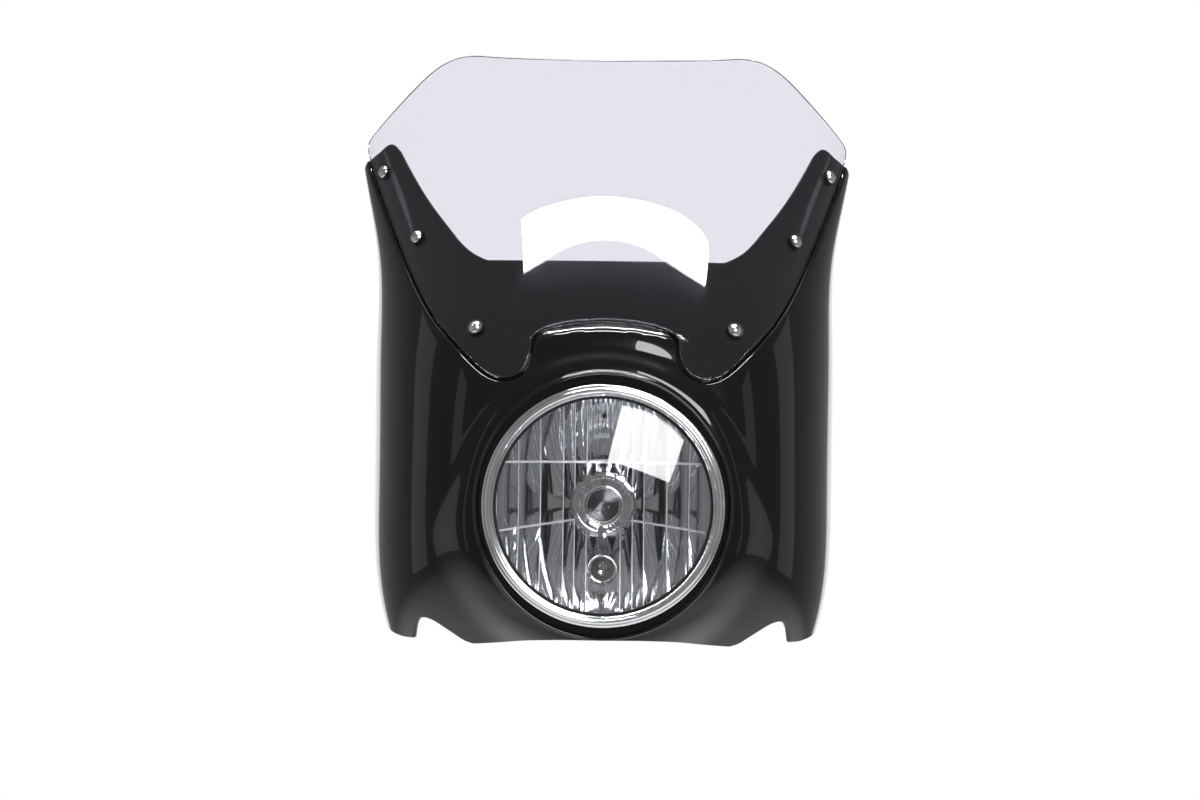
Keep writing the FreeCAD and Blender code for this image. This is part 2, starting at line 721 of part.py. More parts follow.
def make_parts():
    parking_socket, parking_bulb = make_parking_light()
    parts = {
        "fairing_shell": [make_shell()],
        "windscreen": [make_windscreen()],
        "headlight_rim": [make_rim()],
        "headlight_lens": [make_lens()],
        "lens_seal": [make_seal()],
        "reflector": [make_reflector()],
        "bulb_shield": [make_shield()],
        "headlight_bulb": [make_bulb()],
        "bulb_clip": [make_bulb_clip()],
        "dust_boot": [make_dust_boot()],
        "parking_socket": [parking_socket],
        "parking_bulb": [parking_bulb],
        "headlight_housing": [make_housing()],
        "cable_grommet": [make_grommet()],
        "headlight_bracket": [make_bracket()],
    }
    parts.update(make_screen_fasteners())
    parts.update(make_pivot_parts())
    parts.update(make_stay_parts())
    return parts


os.makedirs("parts", exist_ok=True)
for node, solids in make_parts().items():
    solids = [solid for shape in solids for solid in shape.Solids]
    shape = solids[0] if len(solids) == 1 else Part.makeCompound(solids)
    shape.exportStep("parts/{}.step".format(node))
    box = shape.BoundBox
    print(node, len(solids), shape.isValid(), round(shape.Volume), [round(v, 1) for v in (
        box.XMin, box.XMax, box.YMin, box.YMax, box.ZMin, box.ZMax)])
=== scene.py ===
"""Looks of the cockpit fairing: shell with rolled edges, mirror, finishes, studio and camera."""
import json
import math

import bpy
import numpy as np
from mathutils import Euler, Matrix, Vector
from mathutils.geometry import delaunay_2d_cdt


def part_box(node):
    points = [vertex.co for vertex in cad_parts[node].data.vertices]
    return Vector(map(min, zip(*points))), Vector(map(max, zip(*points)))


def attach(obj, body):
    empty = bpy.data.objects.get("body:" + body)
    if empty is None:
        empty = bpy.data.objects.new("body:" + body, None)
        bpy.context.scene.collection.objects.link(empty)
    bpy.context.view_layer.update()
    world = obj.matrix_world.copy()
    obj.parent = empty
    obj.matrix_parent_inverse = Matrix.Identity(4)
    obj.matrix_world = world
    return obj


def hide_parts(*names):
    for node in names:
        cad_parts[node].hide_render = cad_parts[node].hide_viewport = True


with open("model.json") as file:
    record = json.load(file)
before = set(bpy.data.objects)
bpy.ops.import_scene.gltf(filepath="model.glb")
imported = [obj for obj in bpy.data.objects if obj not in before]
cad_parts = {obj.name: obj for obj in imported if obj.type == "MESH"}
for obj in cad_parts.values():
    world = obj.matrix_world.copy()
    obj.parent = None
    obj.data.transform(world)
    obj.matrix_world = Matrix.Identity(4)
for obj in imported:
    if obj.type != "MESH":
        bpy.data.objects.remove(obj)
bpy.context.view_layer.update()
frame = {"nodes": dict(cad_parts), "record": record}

MM = 0.001

# Camera, from the photograph's framing, in metres; the sensor in millimetres
SENSOR = 36.0
CAMERA_DISTANCE = 3.0
CAMERA_HEIGHT = 0.083
CAMERA_SIDE = -0.0035
FRAME_WIDTH = 0.937
CAMERA_ROLL = math.radians(0.7)

# Studio, in metres; places of the softboxes are counted from the rim's front
FLOOR_LEVEL = -0.5
FLOOR_RADIUS = 1.5
FLOOR_FADE_START = 0.75
FLOOR_CORNERS = 96
BACKDROP_WIDTH, BACKDROP_HEIGHT, BACKDROP_DISTANCE, BACKDROP_MIDDLE = 1.7, 3.4, 1.6, 0.4
STRIPS = (("front_strip", 62, 0.42), ("rear_strip", 98, 0.5))
STRIP_HEIGHT, STRIP_DISTANCE, STRIP_MIDDLE, STRIP_GLOW = 1.7, 1.7, 0.3, 0.55
STRIP_COLOUR = (0.94, 0.96, 1)
SOFTBOXES = (
    ("overhead", 1.3, 0.1, (0.09, -0.3, 1.9), (0.09, -0.29, 0), 26.0, 0.0),
    ("front_right", 1.15, 1.05, (0.72, -1.9, 1.0), (0, 0, 0.05), 40.0, math.radians(-22)),
    ("rear_overhead", 1.3, 0.06, (0.0, 0.75, 1.9), (0.0, 0.6, 0.1), 40.0, 0.0),
)
SKY_LIGHT, SKY_SEEN, SKY_MIRRORED = 0.1, 0.9, 0.1

# Shell, in millimetres; depths are counted back from the rim's front. It follows the solids, apart from a
# weaker flare round the mouth, a sharper and higher brow and rounder upper corners of the screen
SETBACK = 190.0
SHELL_WALL = 3.0
RECESS = 4.3
SCREEN_EDGE_GAP = 2.0
SIDE_DRAFT = 7.0
MOUTH = np.array((98.7, 102.9))
LIP_WALL = 2.6
LIP_FRONT = 6.0
LIP_BACK = 36.5
LIP_RETURN = 2.5
THROAT = 95.0
FLARE_DEPTH = 17.0
FLARE_REACH_HIGH, FLARE_REACH_LOW = 26.0, 46.0
FLARE_BLEND = 90.0
FLARE_START = 1.04
FLARE_PULL_HIGH, FLARE_PULL_LOW = 0.2, 0.45
BROW_RISE, BROW_HALF_WIDTH, BROW_HEIGHT, BROW_ROUNDNESS = 5.0, 58.0, 137.5, 16.0
BROW_DROP = 0.0025
BROW_EDGE = 8.0
STATIONS = (
    (-130, 90, 168, 165, 95, 118), (-95, 50, 180, 174, 105, 88), (-50, 29, 188, 186, 114, 68),
    (0, 24, 190, 196, 120, 60), (60, 27, 190.5, 203, 120, 64), (130, 51, 190.5, 211, 115, 88),
    (200, 97, 191.5, 226, 108, 139), (275, 153, 205, 250, 108, 199), (385, 242, 216, 292, 110, 284),
)
SCREEN_LOWER = (
    (201, 299), (199, 280), (187, 248), (173.5, 215), (157, 180), (132.5, 142), (110.5, 119), (92, 103.5),
    (77, 100.5), (65.5, 107), (60, 120), (57.5, 133), (44, 141.5), (22, 146), (0, 147.5),
)
SCREEN_UPPER = (
    (0, 368.5), (60, 370), (98, 372), (114, 372.9), (128, 370.8), (141, 364.5), (156, 351.5), (172, 334),
    (187, 317), (197, 305), (201, 299),
)
HORN = ((97, 197.5), (110, 204), (128, 222), (148, 247), (163, 270), (175, 291))
HORN_TIP = ((175, 291), (182, 297), (193, 290))
TOP_CORNER = (206, 276)
CHIN = ((0, -108), (53, -109), (83, -113), (103, -114.8))
ARCH = ((103, -114.8), (110, -112.5), (118, -107.5), (128, -101), (138, -95.5), (146, -95), (150, -101))
EAR = ((150, -101), (152, -112.5), (161, -112.5), (176, -108))
BOSS_LEVEL, BOSS_DEPTH, BOSS_RADIUS, BOSS_LENGTH = 50.0, 157.0, 8.0, 14.0
BOSS_CHAMFER, BOSS_BORE, BOSS_BORE_DEPTH = 0.8, 3.2, 6.0
BOSS_TURNS, BOSS_SAMPLES = 40, 4001

# Shell mesh
STEP_ROUND = 3.2
STEP_OUTER, STEP_INNER = 4.4, 3.8
STEP_FLOOR_SIDE, STEP_FLOOR_SINK = (-0.2, -0.45, -0.9, -1.7), (3.9, 4.2, RECESS, RECESS)
STEP_REACH = 6.0
LEAST_WALL = 0.4
BORDER_CLEARANCE = 0.6
SCREEN_WALL = 4.0
SCREEN_ROUND = 1.1
EDGE_ROUND = 1.9
CHIN_ROUND = 0.8
CHIN_HALF_WIDTH, CHIN_TOP = 90.0, -60.0
CHIN_BLEND_START, CHIN_BLEND_WIDTH = 40.0, 25.0
LIP_FILLET, LIP_FILLET_GAIN, LIP_FILLET_DROP, LIP_FILLET_BLEND = 0.9, 3.1, 103.0, 18.0
LIP_NOSE_POINTS = 9
CREASE = math.radians(42)
NUDGE_ACROSS, NUDGE_UP = 0.002, 0.5
HALVINGS = 34
ROW_SHARE, CLEAR_SHARE = 0.866, 0.55
LINE_SPACING = 2.4
FILL_SPACING = 3.2
UNROLLED = 270.0
MOUTH_POINTS = 288
RING_GAP, RING_COUNT = 1.9, 14

# Mirror of the headlight
MIRROR_RADIUS = 84.0
MIRROR_APEX = 76.4
MIRROR_DEPTH = 60.0
MIDDLE_EDGE = 13.5
MIRROR_LINES = (
    -83.8, -67.0, -50.0, -32.0, -23.0, -MIDDLE_EDGE, MIDDLE_EDGE, 23.0, 32.0, 50.0, 67.0, 83.8,
)
MIRROR_WALL = 1.6
MIRROR_BULGE = 0.06
UPPER_SPLIT = 32.5
SPLIT_STEP = -2.0
SPLIT_SLOPE = 1.8
MIRROR_EDGE = 0.8
MIRROR_CREASE = math.radians(14)
LOWER_SPLIT, LOWER_SPLIT_SLANT = -9.0, 0.13
ZONE_ROWS = (44, 26, 30)
MIDDLE_COLUMNS, STRIP_COLUMNS = 28, 10
MIDDLE_RIPPLES, RIPPLE_SHARE = 3.5, 5
WELL_SNAP, WELL_POINTS = 0.8, 72
BULB_HOLE = 20.5
RIM_CLEARANCE, BACK_OFFSET = 0.2, 4.0
BOWL_EDGE, BOWL_SHIFT, BOWL_ROWS = 2.0, 6.0, 14
COLLAR_RADIUS, COLLAR_REACH, COLLAR_CLEARANCE = 26.5, 3.0, 0.6
MIRROR_TURNS = 120
FLANGE_RADIUS, FLANGE_FRONT, FLANGE_WALL = 93.2, 16.4, 2.0
PARKING_DROP, PARKING_WELL, PARKING_SEAT = 51.0, 12.0, 55.0

# Bulb shield's black face and cup, the parking light's ring and well, and the vent; profiles are
# (radius, depth) corners
ON_AXIS = 0.01
SHIELD_FACE, SHIELD_FRONT, SHIELD_GROOVES, GROOVE_DEPTH = 12.4, 23.9, 16, 0.12
FACE_BEVEL_WIDTH, FACE_BEVEL_DEPTH, FACE_MIDDLE = 0.25, 0.2, 0.4
SHIELD_CREASE = math.radians(8)
SHIELD_TURNS, PARKING_TURNS, VENT_TURNS = 96, 72, 32
SHIELD_CUP = (
    (13.85, 27.0), (14.3, 25.4), (15.2, 25.2), (16.4, 26.4), (18.6, 30.0), (20.6, 31.6), (21.6, 33.4),
    (21.8, 40.0), (21.0, 40.0), (20.6, 35.0), (18.0, 32.0), (13.85, 31.0), (13.85, 27.0),
)
PARKING_RING = (
    (11.4, 51.0), (11.5, 49.6), (10.8, 48.6), (9.8, 48.6), (9.2, 49.6), (9.2, 50.2), (11.4, 51.0),
)
PARKING_DISH = (
    (9.3, 50.1), (8.2, 49.7), (6.4, 49.9), (5.9, 49.4), (5.5, 49.4), (5.5, 50.4), (9.3, 50.1),
)
VENT = ((ON_AXIS, 32.6), (1.4, 32.6), (1.9, 33.2), (1.9, 38.5), (ON_AXIS, 38.5))
VENT_HEIGHT = 70.0


class Socket:
    """A node's output, with Python's operators for shader maths."""

    def __init__(self, tree, socket):
        self.tree = tree
        self.socket = socket

    def maths(self, operation, other, swap=False):
        pair = (other, self) if swap else (self, other)
        return add_node(self.tree, "ShaderNodeMath", {"operation": operation}, {0: pair[0], 1: pair[1]})

    def __add__(self, other):
        return self.maths("ADD", other)

    def __radd__(self, other):
        return self.maths("ADD", other, True)

    def __sub__(self, other):
        return self.maths("SUBTRACT", other)

    def __rsub__(self, other):
        return self.maths("SUBTRACT", other, True)

    def __mul__(self, other):
        return self.maths("MULTIPLY", other)

    def __rmul__(self, other):
        return self.maths("MULTIPLY", other, True)


def add_node(tree, kind, settings=None, inputs=None, output=0):
    """Adds a node, sets it up, fills or links its sockets and wraps one output."""
    node = tree.nodes.new(kind)
    for name, value in (settings or {}).items():
        setattr(node, name, value)
    for key, value in (inputs or {}).items():
        if isinstance(value, Socket):
            tree.links.new(value.socket, node.inputs[key])
        else:
            node.inputs[key].default_value = value
    return Socket(tree, node.outputs[output]) if len(node.outputs) else None


def finish_material(name, shader):
    """A material whose surface is the shader made by a function of its node tree."""
    material = bpy.data.materials.new(name)
    material.use_nodes = True
    tree = material.node_tree
    tree.nodes.clear()
    add_node(tree, "ShaderNodeOutputMaterial", None, {"Surface": shader(tree)})
    return material


def noise(tree, scale):
    """Soft mottling, fixed to the piece."""
    place = add_node(tree, "ShaderNodeTexCoord", None, None, "Object")
    return add_node(tree, "ShaderNodeTexNoise", None, {"Vector": place, "Scale": scale, "Detail": 2.0})


def bump(tree, height, strength, distance):
    """A normal tilted by a height."""
    return add_node(tree, "ShaderNodeBump", None, {
        "Height": height, "Strength": strength, "Distance": distance})


def gloss_black(tree):
    """Deep black under a clear coat, with a trace of orange peel."""
    peel = bump(tree, noise(tree, 260.0), 0.05, 0.0002)
    mottle = noise(tree, 18.0)
    return add_node(tree, "ShaderNodeBsdfPrincipled", None, {
        "Base Color": (0.0014, 0.0014, 0.002, 1), "Roughness": 0.16 + 0.05 * mottle, "Specular IOR Level": 0.08,
        "Coat Weight": 1.0, "Coat Roughness": 0.02, "Normal": peel})


def clear_sheet(tree):
    """Clear moulded sheet, faintly cool."""
    haze = noise(tree, 30.0)
    return add_node(tree, "ShaderNodeBsdfPrincipled", None, {
        "Base Color": (0.83, 0.83, 0.91, 1), "Roughness": 0.004 + 0.004 * haze, "IOR": 1.49,
        "Transmission Weight": 1.0})


def lamp_glass(tree):
    """Clear smooth glass."""
    haze = noise(tree, 40.0)
    return add_node(tree, "ShaderNodeBsdfPrincipled", None, {
        "Base Color": (0.99, 0.995, 1.0, 1), "Roughness": 0.002 + 0.003 * haze, "IOR": 1.5,
        "Transmission Weight": 1.0})


def metal(colour, roughness, spread, scale):
    """Bare or plated metal with a slightly uneven polish."""
    def shader(tree):
        wear = noise(tree, scale)
        return add_node(tree, "ShaderNodeBsdfPrincipled", None, {
            "Base Color": (*colour, 1), "Metallic": 1.0, "Roughness": roughness + spread * wear})
    return shader


def pale_metal(tree):
    """Unpolished edges of the mirror, which scatter light."""
    wear = noise(tree, 300.0)
    return add_node(tree, "ShaderNodeBsdfPrincipled", None, {
        "Base Color": (0.93, 0.93, 0.97, 1), "Metallic": 0.3, "Roughness": 0.25 + 0.15 * wear})


def plain(colour, roughness, scale, strength):
    """Rubber, plastic or paint with a fine grain."""
    def shader(tree):
        grain = noise(tree, scale)
        return add_node(tree, "ShaderNodeBsdfPrincipled", None, {
            "Base Color": (*colour, 1), "Roughness": roughness + 0.1 * grain,
            "Normal": bump(tree, grain, strength, 0.0003)})
    return shader


FINISHES = {
    "black_shell": gloss_black,
    "clear_screen": clear_sheet,
    "polished_steel": metal((0.78, 0.78, 0.79), 0.08, 0.05, 120.0),
    "black_rubber": plain((0.012, 0.012, 0.012), 0.55, 900.0, 0.2),
    "zinc_steel": metal((0.62, 0.62, 0.63), 0.25, 0.1, 200.0),
    "chrome_rim": metal((0.86, 0.87, 0.89), 0.1, 0.04, 60.0),
    "lamp_glass": lamp_glass,
    "mirror_coat": metal((0.86, 0.87, 0.9), 0.03, 0.03, 90.0),
    "bulb_glass": lamp_glass,
    "socket_metal": metal((0.7, 0.7, 0.72), 0.2, 0.1, 200.0),
    "black_paint": plain((0.012, 0.012, 0.013), 0.35, 700.0, 0.15),
    "black_nylon": plain((0.02, 0.02, 0.02), 0.45, 500.0, 0.1),
}
materials = {slot: finish_material(slot, shader) for slot, shader in FINISHES.items()}


def dress_nodes():
    """Gives every CAD node the finish of its slot."""
    for row in frame["record"]["subparts"]:
        node = frame["nodes"][row["node"]]
        node.data.materials.clear()
        node.data.materials.append(materials[row["material_slot"]])


def add_piece(name, points, faces, body, slot, node=None):
    """A piece from points in millimetres, on a body, in a finish, in place of a node where one is named."""
    mesh = bpy.data.meshes.new(name)
    mesh.from_pydata([tuple(point) for point in np.asarray(points) * MM], [], faces)
    mesh.validate()
    mesh.shade_smooth()
    piece = bpy.data.objects.new(name, mesh)
    bpy.context.scene.collection.objects.link(piece)
    mesh.materials.append(materials[slot])
    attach(piece, body)
    if node:
        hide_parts(node)
    return piece


def natural_spline(xs, ys):
    """A smooth curve through points, as a function of arrays."""
    xs, ys = np.asarray(xs, float), np.asarray(ys, float)
    gaps, count = np.diff(xs), len(xs)
    system, bend = np.eye(count), np.zeros(count)
    for i in range(1, count - 1):
        system[i, i - 1:i + 2] = gaps[i - 1], 2 * (gaps[i - 1] + gaps[i]), gaps[i]
        bend[i] = 6 * ((ys[i + 1] - ys[i]) / gaps[i] - (ys[i] - ys[i - 1]) / gaps[i - 1])
    second = np.linalg.solve(system, bend)

    def value(x):
        i = np.clip(np.searchsorted(xs, x) - 1, 0, count - 2)
        t, gap = x - xs[i], gaps[i]
        slope = (ys[i + 1] - ys[i]) / gap - gap * (2 * second[i] + second[i + 1]) / 6
        return ys[i] + t * slope + t * t * second[i] / 2 + t ** 3 * (second[i + 1] - second[i]) / (6 * gap)

    return value


def soft_step(value):
    """A smooth rise from 0 to 1."""
    value = np.clip(value, 0.0, 1.0)
    return value ** 3 * (10 - 15 * value + 6 * value * value)


HEIGHTS = [row[0] for row in STATIONS]
SECTION = [natural_spline(HEIGHTS, [row[column] for row in STATIONS]) for column in range(1, 6)]


def shell_point(across, z):
    """The shell's outside: across runs from -1 at the left rear edge to 1 at the right one."""
    t = np.abs(across)
    u = 1 - t
    front, half, rear, nose_width, shoulder_depth = [part(z) for part in SECTION]
    nose, shoulder, tail = 3 * t * u * u, 3 * t * t * u, t ** 3
    x = nose * nose_width + shoulder * (half - SIDE_DRAFT) + tail * half
    depth = front * (u ** 3 + nose) + shoulder * shoulder_depth + tail * rear
    around = np.hypot(x / MOUTH[0], z / MOUTH[1])
    low = soft_step(0.5 - z / FLARE_BLEND)
    pull = FLARE_PULL_HIGH + (FLARE_PULL_LOW - FLARE_PULL_HIGH) * low
    reach = 1 + (FLARE_REACH_HIGH + (FLARE_REACH_LOW - FLARE_REACH_HIGH) * low) / MOUTH[1]
    flare = soft_step((reach - around) / (reach - FLARE_START))
    depth = depth + (FLARE_DEPTH - depth) * pull * flare
    over = z + BROW_DROP * x * x - BROW_HEIGHT
    hood = np.where(over < 0, np.exp(-(over / BROW_ROUNDNESS) ** 2), 1 - soft_step(over / BROW_EDGE))
    depth = depth - BROW_RISE * hood * np.exp(-(x / BROW_HALF_WIDTH) ** 4)
    return np.stack([np.sign(across) * x, depth - SETBACK, z + 0 * x], -1)


def unit(vectors):
    """Vectors of length 1."""
    return vectors / np.linalg.norm(vectors, axis=-1, keepdims=True)


def shell_frame(line):
    """Points of the shell's outside at (across, z) rows, with their two tangents and outward normals."""
    across, z = line[:, 0], line[:, 1]
    along = shell_point(across + NUDGE_ACROSS, z) - shell_point(across - NUDGE_ACROSS, z)
    along = along / (2 * NUDGE_ACROSS)
    up = (shell_point(across, z + NUDGE_UP) - shell_point(across, z - NUDGE_UP)) / (2 * NUDGE_UP)
    return shell_point(across, z), along, up, unit(np.cross(along, up))


def on_shell(outline):
    """Front view (x, z) rows as (across, z) rows."""
    x, z = outline[:, 0], outline[:, 1]
    low, high = np.zeros(len(x)), np.ones(len(x))
    for _ in range(HALVINGS):
        middle = (low + high) / 2
        short = shell_point(middle, z)[:, 0] < np.abs(x)
        low, high = np.where(short, middle, low), np.where(short, high, middle)
    return np.stack([np.copysign(high, x), z], -1)


def side_step(line, distance, closed):
    """A line on the shell moved over the surface to its left, as seen from outside, with that direction."""
    point, along, up, normal = shell_frame(line)
    ahead = np.roll(point, -1, 0) - np.roll(point, 1, 0)
    if not closed:
        ahead[0], ahead[-1] = point[1] - point[0], point[-1] - point[-2]
    left = np.cross(normal, unit(ahead))
    aa, au, uu = (along * along).sum(1), (along * up).sum(1), (up * up).sum(1)
    al, ul = (along * left).sum(1), (up * left).sum(1)
    step = np.stack([al * uu - ul * au, ul * aa - al * au], -1) / (aa * uu - au * au)[:, None]
    return line + step * np.reshape(distance, (-1, 1)), left


def spline_line(points, count=160):
    """A smooth line through points, closely sampled."""
    points = np.asarray(points, float)
    run = np.concatenate([[0], np.cumsum(np.linalg.norm(np.diff(points, axis=0), axis=1))])
    at = np.linspace(0, run[-1], count)
    return np.stack([natural_spline(run, points[:, k])(at) for k in (0, 1)], -1)


def mirrored(points):
    """The left half of an outline, running on from the right half's end at the axis."""
    return [(-x, z) for x, z in reversed(points)]


def resampled(line, spacing, closed):
    """A line on the shell with evenly spaced points."""
    if closed:
        line = np.concatenate([line, line[:1]])
    place = shell_point(line[:, 0], line[:, 1])
    run = np.concatenate([[0], np.cumsum(np.linalg.norm(np.diff(place, axis=0), axis=1))])
    at = np.linspace(0, run[-1], int(run[-1] / spacing) + 1)
    if closed:
        at = at[:-1]
    return np.stack([np.interp(at, run, line[:, k]) for k in (0, 1)], -1)


def shell_border():
    """The shell's edge, counterclockwise from the chin as seen from the front."""
    chin = spline_line(mirrored(CHIN)[:-1] + list(CHIN))
    chin = chin[chin[:, 0] >= 0]
    low = np.concatenate([chin, spline_line(ARCH)[1:], np.asarray(EAR, float)[1:]])
    rear_z = np.linspace(EAR[-1][1], TOP_CORNER[1], 200)
    rear = np.stack([np.ones(len(rear_z)), rear_z], -1)
    high = np.concatenate([spline_line(HORN_TIP[::-1]), spline_line(HORN[::-1])[1:]])
    right = np.concatenate([on_shell(low)[:-1], rear, on_shell(high)])
    left = right[::-1] * (-1, 1)
    border = resampled(np.concatenate([right, left[left[:, 0] < 0]]), LINE_SPACING / 3, True)
    for _ in range(3):
        ahead, behind = np.roll(border, -1, 0), np.roll(border, 1, 0)
        border = border / 2 + (ahead + behind) / 4
    return border


def recess_edge():
    """The edge of the screen's recess, from the upper right to the upper left."""
    outline = spline_line(list(SCREEN_LOWER) + mirrored(SCREEN_LOWER)[1:], 900)
    ahead = unit(np.gradient(outline, axis=0))
    outward = np.stack([-ahead[:, 1], ahead[:, 0]], -1)
    return resampled(on_shell(outline + outward * SCREEN_EDGE_GAP), LINE_SPACING, False)


QUARTER = np.radians((0, 18, 36, 54, 72, 90))
STEP_SIDE = np.concatenate([[STEP_OUTER, STEP_INNER], STEP_ROUND * (1 - np.sin(QUARTER)), STEP_FLOOR_SIDE])
STEP_SINK = np.concatenate([[0, 0], STEP_ROUND * (1 - np.cos(QUARTER)), STEP_FLOOR_SINK])


def front_sink(side):
    """How far the front lies below the shell's outside, by the distance from the recess edge."""
    return np.interp(side, STEP_SIDE[::-1], STEP_SINK[::-1])


def back_sink(side):
    """How far the back lies below the shell's outside, by the same distance."""
    return np.interp(side, (STEP_INNER, STEP_OUTER), (RECESS + SHELL_WALL, SHELL_WALL))


def within(points, ring):
    """Which flat points lie inside a closed ring."""
    x, y = points[:, :1], points[:, 1:]
    ax, ay = ring[:, 0], ring[:, 1]
    bx, by = np.roll(ax, -1), np.roll(ay, -1)
    crosses = (ay > y) != (by > y)
    rise = np.where(by == ay, 1e-9, by - ay)
    return (crosses & (x < (bx - ax) * (y - ay) / rise + ax)).sum(1) % 2 == 1


def nearest(points, targets):
    """Each point's nearest target and its distance."""
    index, reach = [], []
    for chunk in np.array_split(points, max(1, len(points) // 800)):
        gaps = np.linalg.norm(chunk[:, None] - targets[None], axis=2)
        best = gaps.argmin(1)
        index.append(best)
        reach.append(gaps[np.arange(len(chunk)), best])
    return np.concatenate(index), np.concatenate(reach)


def fill_points(fixed, ring, spacing):
    """Evenly spread flat points inside a ring, clear of fixed ones."""
    low, high = ring.min(0), ring.max(0)
    columns = np.arange(low[0], high[0], spacing)
    levels = np.arange(low[1], high[1], spacing * ROW_SHARE)
    points = np.concatenate([np.stack([columns + spacing * (k % 2) / 2, np.full(len(columns), z)], -1)
                             for k, z in enumerate(levels)])
    points = points[within(points, ring)]
    return points[nearest(points, fixed)[1] > spacing * CLEAR_SHARE]


def triangles(flat_points, links, ring):
    """Triangles over flat points that keep the given links, inside a ring, all turning one way."""
    made = delaunay_2d_cdt([Vector(row) for row in flat_points], links, [], 0, 1e-7)
    source = [origin[0] if origin else -1 for origin in made[3]]
    tris = [tuple(source[k] for k in tri) for tri in made[2]]
    tris = np.array([tri for tri in tris if min(tri) >= 0 and len(set(tri)) == 3])
    tris = tris[within(flat_points[tris].mean(1), ring)]
    a, b, c = [flat_points[tris[:, k]] for k in range(3)]
    turn = (b[:, 0] - a[:, 0]) * (c[:, 1] - a[:, 1]) - (b[:, 1] - a[:, 1]) * (c[:, 0] - a[:, 0])
    tris[turn < 0] = tris[turn < 0][:, ::-1]
    return tris


def make_screen():
    """The clear sheet, with its edge rounded on both faces."""
    flat = np.array((UNROLLED, 1.0))
    right = spline_line(SCREEN_UPPER + SCREEN_LOWER[1:], 700)
    outline = np.concatenate([right, (right * (-1, 1))[::-1][1:-1]])[::-1]
    border = resampled(on_shell(outline), LINE_SPACING / 2, True)
    rows, sinks, links, level = [], [], [], []
    for angle in QUARTER[::-1]:
        start = len(rows) * len(border)
        rows.append(side_step(border, np.full(len(border), SCREEN_ROUND * (1 - math.sin(angle))), True)[0])
        sinks.append(np.full(len(border), SCREEN_ROUND * (1 - math.cos(angle))))
        level.append(np.full(len(border), angle == 0))
        links += [(start + k, start + (k + 1) % len(border)) for k in range(len(border))]
    fixed = np.concatenate(rows)
    fill = fill_points(fixed * flat, rows[-1] * flat, FILL_SPACING)
    line = np.concatenate(rows + [fill / flat])
    sink = np.concatenate(sinks + [np.zeros(len(fill))])
    level = np.concatenate(level + [np.full(len(fill), True)])
    tris = triangles(line * flat, links, border * flat)
    point, _, _, normal = shell_frame(line)
    count = len(line)
    points = np.concatenate([point - normal * sink[:, None], point - normal * (SCREEN_WALL - sink)[:, None]])
    faces = [tuple(tri) for tri in tris] + [tuple(tri[::-1] + count) for tri in tris]
    for k in range(len(border)):
        after = (k + 1) % len(border)
        faces.append((after, k, k + count, after + count))
    screen = add_piece("screen_sheet", points, faces, "fairing", "clear_screen", "windscreen")
    smooth_shell(screen.data, count, level, normal)


